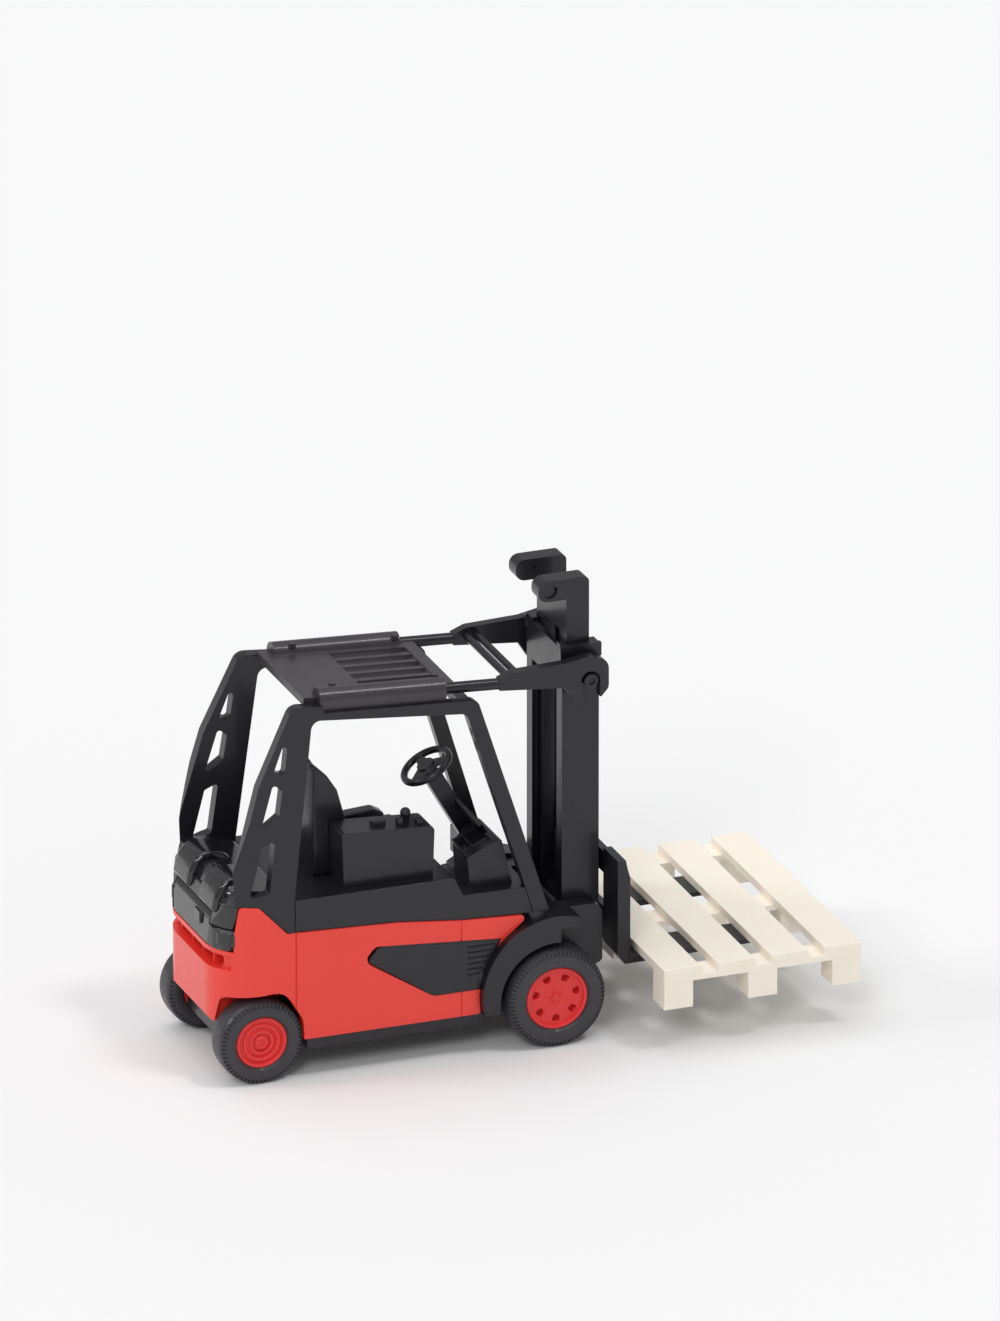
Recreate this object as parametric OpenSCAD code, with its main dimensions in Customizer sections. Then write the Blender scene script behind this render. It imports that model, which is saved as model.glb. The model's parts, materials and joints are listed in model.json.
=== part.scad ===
// Toy forklift truck at 1:50, with a two-stage mast, fork carriage and loose pallet.
// +X points forwards and +Z up. The floor is z = 0 and the origin is under the toy's middle.
// Inside the modules x = 0 is the front axle, and seat_in_frame() moves the whole toy along X.

/* [Wheels] */
// Distance between the two axles
wheelbase = 32; // [29:0.1:39]
// Outer radius of a front tyre
front_tyre_r = 5.4; // [4.4:0.1:5.6]
// Width of a front tyre
front_tyre_w = 3.6; // [2.8:0.1:4.2]
// Outer radius of a front rim
front_rim_r = 3.4; // [2.8:0.1:4.2]
// Outer radius of a rear tyre
rear_tyre_r = 4.6; // [3.8:0.1:4.8]
// Width of a rear tyre
rear_tyre_w = 3.4; // [2.6:0.1:3.8]
// Outer radius of a rear rim
rear_rim_r = 2.8; // [2.2:0.1:3.4]
// Radius of both steel axles
axle_r = 0.8; // [0.6:0.05:1]
// Distance that the front tyres stand out from the body side
front_tyre_proud = 1.6; // [1:0.1:2]

/* [Body] */
// Width of the body across its sides
body_w = 19.2; // [17:0.01:24]
// Distance from the rear axle to the rear face
rear_overhang = 4.5; // [4.2:0.1:6]
// Height of the underside above the floor
sill_z = 3.2; // [2.4:0.1:3.4]
// Height of the lower edge of the red casting
casting_z = 4.4; // [4:0.1:5.2]
// Wall thickness of the red casting
casting_wall = 1.4; // [1.2:0.1:1.8]
// Depth of the pocket that holds a side panel
pocket_d = 0.7; // [0.5:0.05:0.9]
// Radius of the rear corners, seen from above
rear_corner_r = 5.5; // [4:0.25:6.5]

/* [Cab] */
// Height of the seat deck
deck_z = 19.9; // [19:0.1:22]
// Height of the step in front of the seat deck
step_z = 17.8; // [17:0.1:18.6]
// Height of the rear end of the roof
cab_h = 41; // [36:0.1:49.5]
// Width of the cab frame at its top
cab_top_w = 17; // [16:0.2:18.4]
// Thickness of a cab side frame
cab_frame_t = 1.3; // [1:0.1:1.5]
// Slope of the roof and of the tilt rods, down towards the front, in degrees
roof_slope = 3.2; // [2:0.1:4]
// Thickness of the roof plate
roof_t = 0.8; // [0.6:0.1:1.2]
// Number of slots in the roof
roof_slots = 5; // [3:1:5]
// Diameter of the steering wheel
wheel_d = 6; // [5:0.1:6.4]
// Width of the seat
seat_w = 7.6; // [6:0.2:8.4]

/* [Mast] */
// Width across the outer mast
mast_w = 10.2; // [9.8:0.01:12.3]
// Depth of the outer mast channels, front to back
mast_d = 4.1; // [3.8:0.1:4.4]
// Wall thickness of the outer mast channels
channel_t = 0.7; // [0.6:0.05:0.9]
// Distance between the two rails of the inner mast
rail_gap = 4.5; // [4.2:0.1:5.4]
// Height of the outer mast above its hook pins
mast_over_pin = 3.3; // [3:0.1:5]
// Height of the inner mast above the outer mast, as stored
inner_show = 7.1; // [6.6:0.1:10]
// Height that the inner mast is raised above its lowest place, as stored
inner_raise = 4.6; // [4:0.1:5]
// Radius of the mast pins that carry the tilt rod hooks
pin_r = 0.75; // [0.6:0.05:0.9]
// Radius of the trunnions at the mast foot
trunnion_r = 1.1; // [0.9:0.05:1.2]
// Radius of the tilt rods
rod_r = 0.6; // [0.5:0.05:0.65]

/* [Forks] */
// Height of the underside of the forks, as stored
fork_z = 7.4; // [7.2:0.1:8.4]
// Thickness of a fork
fork_t = 0.8; // [0.6:0.05:1]
// Width of a fork
fork_w = 4.6; // [3.6:0.01:5]
// Distance between the two forks
fork_gap = 9.2; // [8.4:0.1:10.4]
// Length of the forks in front of the mast
fork_len = 18.8; // [15:0.2:22]
// Height of the fork uprights
upright_h = 11.6; // [10.8:0.2:14]

/* [Pallet] */
// Length of the pallet, across the truck
pallet_w = 32.5; // [28:0.5:39]
// Depth of the pallet, along the forks
pallet_d = 21.9; // [21:0.01:26.4]
// Number of deck boards
boards = 4; // [3:1:5]
// Width of a deck board
board_w = 4.05; // [3.2:0.05:4.2]
// Thickness of a deck board
board_t = 0.9; // [0.7:0.05:1.1]
// Thickness of the bearers under the deck boards
bearer_t = 0.6; // [0.5:0.05:0.8]
// Height of the pallet blocks
block_h = 2.9; // [2.6:0.1:3.2]
// Side of a pallet block
block_w = 3.2; // [2.6:0.1:3.6]

/* [Fits] */
// Radial clearance of the axles in their bearings and of the other turning fits
running_gap = 0.05; // [0.02:0.01:0.08]
// Clearance between parts that slide in each other
slide_gap = 0.1; // [0.08:0.01:0.15]
// Clearance of the open hooks round the mast pins
hook_gap = 0.3; // [0.25:0.05:0.4]

/* [Hidden] */
$fn = 48;

// A very small overlap that makes two touching solids one
eps = 0.01;
half_w = body_w / 2;
// The rear axle and the rear face
rax = -wheelbase;
rear_x = rax - rear_overhang;
// Front and rear ends of the seat deck and the casting's hollow
deck_front_x = -10.8;
deck_rear_x = rax + 3.7;
// Where the bulkhead of the cab frame stands
bulkhead_x = rax + 3;
bulkhead_t = deck_rear_x - bulkhead_x;
inner_half = half_w - casting_wall;
// The foot well in front of the seat, which is open to the left side
footwell_rear_x = -9.2;
footwell_front_x = -4.2;
footwell_right_y = -1.6;
footwell_z = 12.9;
// Top of the block that carries the rear axle
bearing_top_z = 6.4;

// Highest points of the casting's sides at the cab pillars, and its upper edge at the rear
horn_z = deck_z - 0.2;
rear_edge_z = 14.6;
waist_rear_z = 16.4;
waist_mid_z = 15.9;
waist_front_z = 14.7;
waist_front_x = -2.5;

// Wheel places
front_outer = half_w + front_tyre_proud;
front_inner = front_outer - front_tyre_w;
rear_outer = half_w;
rear_inner = rear_outer - rear_tyre_w;
wheel_side_gap = 0.3;
rear_arch_z = rear_tyre_r * 2 + 0.6;
bearing_rear_half = rear_inner - wheel_side_gap;
// Outer circle of a front wheel arch, a little above and in front of the axle
arch_x = 0.2;
arch_z = front_tyre_r + 0.8;
arch_r = front_tyre_r + 2.85;

// Mast and its pivot
mast_rear_x = 2.7;
mast_front_x = mast_rear_x + mast_d;
mast_half = mast_w / 2;
foot_z = 7;
pivot_x = 4.2;
pivot_z = 9.6;
cheek_top_z = 13.9;
cheek_inner = mast_half + slide_gap;
cheek_outer = front_inner - wheel_side_gap;
// How far out the blind bores for the mast's trunnions reach
cheek_bore = cheek_outer - 0.5;
rail_outer = mast_half - channel_t - slide_gap;
rail_inner = rail_gap / 2;
rail_rear_x = mast_rear_x + channel_t + slide_gap;
rail_front_x = mast_front_x - channel_t - slide_gap;

// The rod line: it passes the hook pins and falls towards the front
pin_x = 5.05;
pin_z = cab_h - 2.2;
rod_y = mast_half + 1.65;
arm_t = 1.1;
arm_x = -5;
rod_front_z = pin_z + 0.9;
function rod_z(x) = rod_front_z - (x - arm_x) * tan(roof_slope);

mast_top_z = pin_z + mast_over_pin;
inner_top_z = mast_top_z + inner_show;
inner_foot_z = foot_z + 0.7 + inner_raise;
head_h = 2.3;

// Carriage
carriage_x = mast_front_x + 0.55;
fork_inner = fork_gap / 2;
fork_outer = fork_inner + fork_w;
fork_top_z = fork_z + fork_t;
upright_top_z = fork_z + upright_h;
tongue_z = inner_foot_z + 0.8;
tongue_h = 5.4;
bar_z = [fork_z + 1.4, fork_z + 8.8];
bar_h = [3.6, 2.4];
shank_t = 1.1;

// Pallet: the forks carry it by its deck boards
pallet_x = carriage_x + 2.45;
pallet_top_z = fork_top_z + board_t;
bearer_z = fork_top_z - bearer_t;
pallet_foot_z = bearer_z - block_h;
board_step = (pallet_d - board_w) / (boards - 1);

// The cab frame leans inwards from the deck to the roof
lean = atan2(half_w - 0.1 - cab_top_w / 2, cab_h - deck_z);
frame_out = half_w - 0.1;
rail_h = 1.5;
cab_rear_top_x = rax + 3.8;
cab_front_top_x = -7.9;
pillar_foot_x = -0.4;
pillar_foot_z = 14.9;
function cab_rail_z(x) = cab_h - (x - cab_rear_top_x) * 0.0985;
pillar_w = 1.7;
pillar_top_z = cab_rail_z(cab_front_top_x);
pillar_run = (pillar_foot_x - cab_front_top_x) / (pillar_top_z - pillar_foot_z);
function pillar_x(z) = pillar_foot_x - pillar_w - (z - pillar_foot_z) * pillar_run;

// Roof
roof_rear_x = rax + 5.5;
roof_front_x = -9.6;
house_rear_x = rax + 7.3;
house_front_x = -10.5;
house_w = 2.5;
// Depth of the flat underside of a housing below its rod
house_under = 0.85;

// Middle of the whole toy along X, which becomes the origin
mid_x = (rear_x + pallet_x + pallet_d) / 2;

casting_red = [0.87, 0.16, 0.14];
rim_red = [0.78, 0.12, 0.14];
black = [0.13, 0.13, 0.14];
roof_grey = [0.2, 0.2, 0.22];
tyre_black = [0.09, 0.09, 0.09];
steel = [0.7, 0.7, 0.72];
pallet_cream = [0.93, 0.88, 0.78];

// Angle of the line from a to b
function heading(a, b) = atan2(b[1] - a[1], b[0] - a[0]);

// Points of corner p, rounded to radius r, on the path from a to b
function round_corner(a, p, b, r, steps) =
    let (
        turn = heading(p, b) - heading(a, p),
        bend = turn > 180 ? turn - 360 : turn < -180 ? turn + 360 : turn,
        start = heading(a, p),
        reach = r * tan(abs(bend) / 2),
        side = bend > 0 ? 1 : -1,
        first = [p[0] - reach * cos(start), p[1] - reach * sin(start)],
        centre = [first[0] - side * r * sin(start), first[1] + side * r * cos(start)]
    )
    [for (i = [0:steps])
        let (angle = start - side * 90 + bend * i / steps)
        [centre[0] + r * cos(angle), centre[1] + r * sin(angle)]];

// Outline with rounded corners: each point is [x, y, radius], and radius 0 stays sharp
function rounded(points, steps = 5) =
    let (count = len(points))
    [for (i = [0:count - 1])
        let (p = points[i])
        each p[2] == 0
            ? [[p[0], p[1]]]
            : round_corner(points[(i + count - 1) % count], p, points[(i + 1) % count], p[2], steps)];

// Moves the toy so that the origin is under its middle
module seat_in_frame() {
    translate([-mid_x, 0, 0])
        children();
}

// Extrudes an outline drawn in x and z from y0 to y1
module side_slab(y0, y1) {
    translate([0, y1, 0])
        rotate([90, 0, 0])
            linear_extrude(height = y1 - y0)
                children();
}

// A box between two corners
module block(low, high) {
    translate(low)
        cube(high - low);
}

// A round bar along Y from y0 to y1
module cross_bar(x, z, r, y0, y1) {
    translate([x, y1, z])
        rotate([90, 0, 0])
            cylinder(h = y1 - y0, r = r);
}

// The children and their mirror image on the left of the truck
module both_sides() {
    children();
    mirror([0, 1, 0])
        children();
}

// ---- Wheels and axles ----

// Plan outline of the body, with round rear corners
module body_plan(inset = 0) {
    w = half_w - inset;
    r = rear_corner_r - inset;
    polygon(rounded([
        [rear_x + inset, -w, r],
        [12, -w, 0],
        [12, w, 0],
        [rear_x + inset, w, r]
    ], 12));
}

// Steel axle with its ends inside the rims
module axle(x, z, outer) {
    color(steel)
        seat_in_frame()
            cross_bar(x, z, axle_r, -outer + 0.6, outer - 0.6);
}

// Tyre round a rim, with a rounded tread
module tyre(x, r, rim_r, outer, w, side) {
    y_mid = side * (outer - w / 2);
    color(tyre_black)
        seat_in_frame()
            translate([x, y_mid, r])
                rotate([90, 0, 0])
                    rotate_extrude($fn = 96)
                        polygon(rounded([
                            [rim_r, -w / 2 + 0.3, 0],
                            [rim_r + 0.3, -w / 2, 0],
                            [r, -w / 2, 0.5],
                            [r, w / 2, 0.5],
                            [rim_r + 0.3, w / 2, 0],
                            [rim_r, w / 2 - 0.3, 0]
                        ]));
}

// Front rim: a dished disc with a ring of seven holes and a raised boss
module front_rim(side) {
    hole_ring_r = front_rim_r * 0.74;
    color(rim_red)
        seat_in_frame()
            translate([0, side * front_outer, front_tyre_r])
                rotate([side * 90, 0, 0])
                    difference() {
                        translate([0, 0, 0.3])
                            cylinder(h = front_tyre_w - 0.6, r = front_rim_r);
                        translate([0, 0, -eps])
                            cylinder(h = 0.8, r = front_rim_r - 0.4);
                        translate([0, 0, 1.3])
                            cylinder(h = front_tyre_w, r = axle_r);
                        translate([0, 0, front_tyre_w - 1.2])
                            cylinder(h = front_tyre_w, r = front_rim_r - 0.5);
                        for (i = [0:6])
                            rotate(i * 360 / 7)
                                translate([hole_ring_r, 0, 0])
                                    cylinder(h = front_tyre_w, r = 0.4);
                    }
}

// Rear rim: a dished disc with raised rings
module rear_rim(side) {
    color(rim_red)
        seat_in_frame()
            translate([rax, side * rear_outer, rear_tyre_r])
                rotate([side * 90, 0, 0])
                    difference() {
                        translate([0, 0, 0.25])
                            cylinder(h = rear_tyre_w - 0.5, r = rear_rim_r);
                        for (ring = [0.55, 1.5])
                            translate([0, 0, -eps])
                                difference() {
                                    cylinder(h = 0.65, r = rear_rim_r - ring + 0.15);
                                    cylinder(h = 0.65, r = rear_rim_r - ring - 0.3);
                                }
                        translate([0, 0, 1.2])
                            cylinder(h = rear_tyre_w, r = axle_r);
                    }
}

module front_axle() axle(0, front_tyre_r, front_outer - 0.7);
module rear_axle() axle(rax, rear_tyre_r, rear_outer - 0.6);
module front_rim_left() front_rim(1);
module front_rim_right() front_rim(-1);
module rear_rim_left() rear_rim(1);
module rear_rim_right() rear_rim(-1);
module front_tyre_left() tyre(0, front_tyre_r, front_rim_r, front_outer, front_tyre_w, 1);
module front_tyre_right() tyre(0, front_tyre_r, front_rim_r, front_outer, front_tyre_w, -1);
module rear_tyre_left() tyre(rax, rear_tyre_r, rear_rim_r, rear_outer, rear_tyre_w, 1);
module rear_tyre_right() tyre(rax, rear_tyre_r, rear_rim_r, rear_outer, rear_tyre_w, -1);

// ---- Body ----

// Side view of the red casting
module casting_profile() {
    polygon(rounded([
        [-8, casting_z, 0.3],
        [-8, 7.1, 0.4],
        [-7.4, 9.5, 0],
        [-5.3, 12.4, 0.6],
        [waist_front_x, waist_front_z, 0.4],
        [-10, waist_front_z + 0.4, 0],
        [-17, waist_mid_z, 0],
        [rax + 3.4, waist_rear_z, 0.6],
        [rax + 2.8, waist_rear_z, 0.4],
        [rax - 0.3, horn_z, 0.5],
        [rax - 2.1, horn_z, 0.5],
        [rax - 2.9, rear_edge_z, 0.8],
        [rear_x, rear_edge_z, 0],
        [rear_x, 6.4, 0.5],
        [rax + 1, 6.4, 0],
        [rax + 2, casting_z, 0]
    ]));
}

// Side view of a rear wheel arch
module rear_arch() {
    polygon(rounded([
        [rax + rear_tyre_r + 0.2, 0, 0],
        [rax + rear_tyre_r - 0.1, rear_tyre_r + 2, 2],
        [rax + 2.4, rear_arch_z + 0.3, 2],
        [rax - 3.7, rear_arch_z - 0.3, 0.8],
        [rax - 4.9, 0, 0]
    ]));
}

// Side view of a side panel and of its pocket
module panel_profile() {
    polygon(rounded([
        [-19.6, 13.6, 0.9],
        [-5.6, 12.5, 0],
        [-7.4, 9.5, 0],
        [-7.95, 7.15, 0],
        [-13.2, 7.15, 1.5],
        [-20.9, 12.1, 0.8]
    ]));
}

// Room for a front wheel arch in the casting and in a side panel
module arch_clearance() {
    cross_bar(arch_x, arch_z, arch_r + slide_gap / 2, inner_half - 1, half_w + 1);
}

// Red die-cast body: two side walls in front of a solid counterweight
module body_casting() {
    color(casting_red)
        seat_in_frame()
            difference() {
                intersection() {
                    side_slab(-half_w, half_w)
                        casting_profile();
                    linear_extrude(height = cab_h)
                        body_plan();
                }
                // Hollow for the base plate and the cab floor
                block([deck_rear_x - 0.6, -inner_half, 0], [10, inner_half, cab_h]);
                // Seat of the rear cover and the cab bulkhead
                block([rear_x - 1, -inner_half, rear_edge_z], [deck_rear_x, inner_half, cab_h]);
                // Wheel arches
                both_sides()
                    side_slab(rear_inner - wheel_side_gap, half_w + 1)
                        rear_arch();
                // Pockets of the side panels
                both_sides()
                    side_slab(half_w - pocket_d, half_w + 1)
                        panel_profile();
                // Grip slot across the rear face
                intersection() {
                    block([rear_x - 1, -8, 12.5], [rax, 8, 14.1]);
                    difference() {
                        block([rear_x - 1, -half_w, 12], [rax, half_w, 15]);
                        linear_extrude(height = cab_h)
                            body_plan(0.5);
                    }
                }
                both_sides()
                    arch_clearance();
                // Seat of the rear axle block, and the foot well
                block([rear_x - 1, -bearing_rear_half, 0], [deck_rear_x, bearing_rear_half, bearing_top_z]);
                block([footwell_rear_x, 0, footwell_z - 0.5], [0, half_w + 1, cab_h]);
                screw_holes();
                // Door seams
                both_sides()
                    for (x = [-10.1, rax + 3.7])
                        block([x - 0.08, half_w - 0.15, 0], [x + 0.08, half_w + 1, waist_rear_z + 1]);
            }
}

// A black insert in the casting's side, with louvres at its front end
module side_panel() {
    difference() {
        side_slab(half_w - pocket_d, half_w + 0.1)
            panel_profile();
        for (i = [0:5])
            translate([0.25 * i, 0, 0.62 * i])
                block([-9.5, half_w - 0.15, 8.9], [-8.1, half_w + 1, 9.15]);
        block([-10.18, half_w - 0.05, 0], [-10.02, half_w + 1, 20]);
        arch_clearance();
    }
}

module side_panel_left() {
    color(black)
        seat_in_frame()
            side_panel();
}

module side_panel_right() {
    color(black)
        seat_in_frame()
            mirror([0, 1, 0])
                side_panel();
}

// Two screws from below: the rear one enters the casting, the front one the cab floor
screw_r = 0.7;
screw_head_r = 1.3;
screw_head_h = 0.8;
screws = [[rax + 2.3, 9], [-5.2, 12.5]];

module screw_holes() {
    for (s = screws) {
        translate([s[0], 0, 0])
            cylinder(h = s[1] + 0.2, r = screw_r);
        translate([s[0], 0, 0])
            cylinder(h = sill_z + screw_head_h, r = screw_head_r);
    }
}

module base_screws() {
    color(steel)
        seat_in_frame()
            for (s = screws)
                translate([s[0], 0, sill_z])
                    difference() {
                        union() {
                            cylinder(h = screw_head_h, r = screw_head_r);
                            cylinder(h = s[1] - sill_z, r = screw_r);
                        }
                        // Cross recess
                        for (turn = [0, 90])
                            rotate(turn)
                                translate([-0.8, -0.15, -eps])
                                    cube([1.6, 0.3, 0.4]);
                    }
}

// Black base: sill tray, axle bearings and the cheeks that hold the mast foot
module base_plate() {
    tray_rear_x = rax + rear_tyre_r + 0.3;
    color(black)
        seat_in_frame()
            difference() {
                union() {
                    block([tray_rear_x, -half_w + 0.1, sill_z], [-8.1, half_w - 0.1, casting_z]);
                    block(
                        [tray_rear_x + 0.1, -inner_half, casting_z - eps],
                        [-8.1, inner_half, bearing_top_z]
                    );
                    block(
                        [rax - 2.6, -bearing_rear_half, sill_z],
                        [rax + 6, bearing_rear_half, bearing_top_z]
                    );
                    // Front bearing and the wall behind the mast
                    block([-8.2, -cheek_outer, sill_z], [2, cheek_outer, front_tyre_r + 1.6]);
                    block([-8.2, -cheek_outer, 6.3], [1.9, cheek_outer, 11.5]);
                    both_sides()
                        side_slab(cheek_inner, cheek_outer)
                            polygon(rounded([
                                [-2, front_tyre_r + 1, 0],
                                [1.9, front_tyre_r + 1, 0],
                                [5.2, 6.9, 0.6],
                                [6.4, 7.4, 0.5],
                                [6.4, cheek_top_z, 1.2],
                                [0, cheek_top_z, 0.8],
                                [-2, 11.5, 0]
                            ]));
                }
                cross_bar(0, front_tyre_r, axle_r + running_gap, -half_w, half_w);
                cross_bar(rax, rear_tyre_r, axle_r + running_gap, -half_w, half_w);
                cross_bar(pivot_x, pivot_z, trunnion_r + running_gap, -cheek_bore, cheek_bore);
                screw_holes();
            }
}

// Front wheel arch: a band round the tyre that ends just in front of the axle
module wheel_arch() {
    difference() {
        union() {
            cross_bar(arch_x, arch_z, arch_r, front_inner, front_outer - 0.6);
            block([-4, inner_half - 1, 12.2], [-1.6, front_inner + 0.2, 14]);
        }
        cross_bar(0, front_tyre_r, front_tyre_r + 0.7, 0, half_w * 2);
        block([-20, 0, -10], [20, half_w * 2, casting_z]);
        block([0.6, 0, -10], [20, half_w * 2, arch_z + arch_r - 1.5]);
        block([2.7, 0, -10], [20, half_w * 2, 20]);
    }
}

// Black cab floor: seat deck, step, foot well, plug in the casting and the two front wheel arches
module cab_floor() {
    color(black)
        seat_in_frame()
            difference() {
                union() {
                    side_slab(-half_w + 0.2, half_w - 0.2)
                        polygon(rounded([
                            [deck_rear_x, waist_rear_z, 0],
                            [-17, waist_mid_z, 0],
                            [-10, waist_front_z + 0.4, 0],
                            [pillar_x(waist_front_z + 0.2), waist_front_z + 0.1, 0],
                            [pillar_x(step_z), step_z, 0],
                            [deck_front_x + 1, step_z, 0.3],
                            [deck_front_x, deck_z, 0.4],
                            [deck_rear_x, deck_z, 0]
                        ]));
                    block([deck_rear_x, -inner_half, 12.6], [-2.4, inner_half, step_z]);
                    block([-9.6, -inner_half, 11.6], [-2.1, inner_half, step_z - 0.5]);
                    both_sides()
                        wheel_arch();
                }
                // Foot well
                block(
                    [footwell_rear_x, footwell_right_y, footwell_z],
                    [footwell_front_x, half_w + 1, cab_h]
                );
                screw_holes();
            }
}

// ---- Cab ----

column_top = [-10.2, 28.5];
column_foot = [-5.3, 19.9];
column_long = norm(column_top - column_foot);
column_tilt = atan2(column_foot[0] - column_top[0], column_top[1] - column_foot[1]);
column_w = 1.8;

// Puts the children on the axis of the steering column, at a distance above its foot
module on_column(up) {
    translate([column_foot[0], 0, column_foot[1]])
        rotate([0, -column_tilt, 0])
            translate([0, 0, up])
                children();
}

// Square shaft of the steering column, whose foot stands in the instrument box's block
module column_shaft() {
    on_column(0)
        translate([-column_w / 2, -column_w / 2, 0])
            cube([column_w, column_w, column_long - 0.9]);
}

// Instrument box to the right of the steering column, with two square recesses in its sloping top,
// and the block in the foot well that the column stands in
module dashboard() {
    box_right_y = -7.7;
    top_rear = [-8.75, 21.2];
    top_front = [-5, 22.9];
    top_slope = heading(top_rear, top_front);
    color(black)
        seat_in_frame()
            difference() {
                union() {
                    intersection() {
                        side_slab(box_right_y, footwell_right_y)
                            polygon(rounded([
                                [-8.4, step_z, 0],
                                [-3.8, step_z, 0],
                                [top_front[0], top_front[1], 0.3],
                                [top_rear[0], top_rear[1], 0.3]
                            ]));
                        linear_extrude(height = cab_h)
                            polygon([
                                [top_rear[0], box_right_y],
                                [0, box_right_y],
                                [0, footwell_right_y],
                                [top_rear[0] + 1.8, footwell_right_y],
                                [top_rear[0], footwell_right_y - 1.8]
                            ]);
                    }
                    // Block under the column, and the hood between the box and the column
                    side_slab(footwell_right_y - eps, 1.2)
                        polygon([
                            [-6.4, footwell_z],
                            [footwell_front_x, footwell_z],
                            [footwell_front_x, 21.6],
                            [-6.4, 20.2]
                        ]);
                    hull() {
                        block([-7.6, -column_w / 2, 24.6], [-7.2, column_w / 2, 25]);
                        block([-5.8, box_right_y + 0.3, 22], [-5.1, column_w / 2, 22.5]);
                    }
                }
                for (recess = [[0.3, 0.9], [1.4, 2]])
                    translate([top_rear[0], 0, top_rear[1]])
                        rotate([0, -top_slope, 0])
                            translate([recess[0], box_right_y + 1.6, -1])
                                cube([recess[1], 3, 2]);
                column_shaft();
            }
}

// Steering column, which rises backwards to the wheel
module steering_column() {
    color(black)
        seat_in_frame()
            difference() {
                union() {
                    column_shaft();
                    on_column(column_w)
                        cylinder(h = column_long - 0.3 - column_w, r = column_w / 2);
                }
                on_column(column_long - 2)
                    cylinder(h = 3, r = 0.45 + running_gap);
            }
}

// Three-spoke wheel on a peg that turns in the column
module steering_wheel() {
    color(black)
        seat_in_frame()
            on_column(column_long) {
                rotate_extrude()
                    translate([wheel_d / 2 - 0.4, 0.3])
                        circle(r = 0.4, $fn = 24);
                cylinder(h = 0.5, r = 0.9);
                translate([0, 0, -1.8])
                    cylinder(h = 2, r = 0.45);
                for (turn = [0, 120, 240])
                    rotate(turn)
                        translate([0, -0.3, 0.05])
                            cube([wheel_d / 2 - 0.4, 0.6, 0.4]);
            }
}

// Seat with a raised back
module seat() {
    color(black)
        seat_in_frame()
            side_slab(-seat_w / 2, seat_w / 2)
                polygon(rounded([
                    [rax + 8.2, deck_z, 0],
                    [-14.6, deck_z, 0],
                    [-14, deck_z + 3.9, 0.8],
                    [-20.4, deck_z + 3.5, 0.6],
                    [-20.7, deck_z + 6.3, 2],
                    [-21.5, deck_z + 9.3, 2],
                    [-22.6, deck_z + 11, 1],
                    [rax + 7.9, deck_z + 12.3, 0.3],
                    [rax + 7.7, deck_z + 3, 0.6]
                ]));
}

// Armrest box beside the seat, with a short knobbed lever moulded on
module armrest() {
    color(black)
        seat_in_frame() {
            side_slab(-inner_half + 0.3, -seat_w / 2 - 0.2)
                polygon(rounded([
                    [-22.4, deck_z, 0],
                    [-12.6, deck_z, 0],
                    [-12.4, deck_z + 5.5, 0.6],
                    [-22.6, deck_z + 6.1, 0.3]
                ]));
            translate([-14.9, -(inner_half + seat_w / 2) / 2 + 0.1, deck_z + 5.5]) {
                cylinder(h = 1, r = 0.3);
                translate([0, 0, 1.1])
                    sphere(r = 0.55);
            }
        }
}

// One side of the cab frame, drawn as if it stood upright
module cab_side_profile() {
    rail_front = cab_rail_z(cab_front_top_x);
    difference() {
        polygon(rounded([
            [rax - 3.4, horn_z, 0],
            [rax - 2.5, deck_z + 4.3, 0],
            [rax - 0.1, deck_z + (cab_h - deck_z) * 0.61, 0],
            [cab_rear_top_x, cab_h, 1.2],
            [cab_front_top_x, rail_front, 0.9],
            [pillar_foot_x, pillar_foot_z, 0],
            [pillar_x(pillar_foot_z), pillar_foot_z, 0],
            [pillar_x(rail_front - rail_h), cab_rail_z(pillar_x(rail_front)) - rail_h, 0.9],
            [rax + 5.9, cab_rail_z(rax + 5.9) - rail_h, 1],
            [rax + 3.6, deck_z + 0.2, 0.5],
            [rax + 3.6, waist_rear_z + 0.05, 0],
            [rax + 2.9, waist_rear_z + 0.05, 0],
            [rax - 0.25, horn_z + 0.05, 0]
        ]));
        // The rail steps down where a rod housing lies on it
        polygon([
            [house_rear_x - 0.1, rod_z(house_rear_x) - house_under],
            [0, rod_z(0) - house_under],
            [0, cab_h + 5],
            [house_rear_x - 0.1, cab_h + 5]
        ]);
        for (window = rear_windows)
            polygon(rounded([for (p = window)
                [rax + p[0], deck_z + (cab_h - deck_z) * p[1], 0.3]]));
    }
}

// Windows in a rear pillar: distance in front of the rear axle, and share of the pillar's height
rear_windows = [
    [[3.4, 0.9], [2.8, 0.66], [1.6, 0.68]],
    [[1.5, 0.62], [2.5, 0.58], [2.1, 0.45], [0, 0.38]],
    [[1.6, 0.33], [0.9, 0.06], [-1.2, 0.04], [0.1, 0.3]]
];

// Black overhead guard: two leaning side frames, a header and a bulkhead under the deck
module cab_frame() {
    color(black)
        seat_in_frame()
            union() {
                intersection() {
                    both_sides()
                        translate([0, frame_out, deck_z])
                            rotate([lean, 0, 0])
                                translate([0, 0, -deck_z])
                                    side_slab(-cab_frame_t, 0)
                                        cab_side_profile();
                    linear_extrude(height = cab_h + 1)
                        body_plan(0.1);
                }
                header_x = -9.6;
                block(
                    [header_x, -cab_top_w / 2 + 0.4, cab_rail_z(header_x) - 1.2],
                    [header_x + 1.2, cab_top_w / 2 - 0.4, cab_rail_z(header_x) - 0.3]
                );
                block([bulkhead_x, -inner_half, rear_edge_z], [deck_rear_x, inner_half, deck_z]);
            }
}

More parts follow.
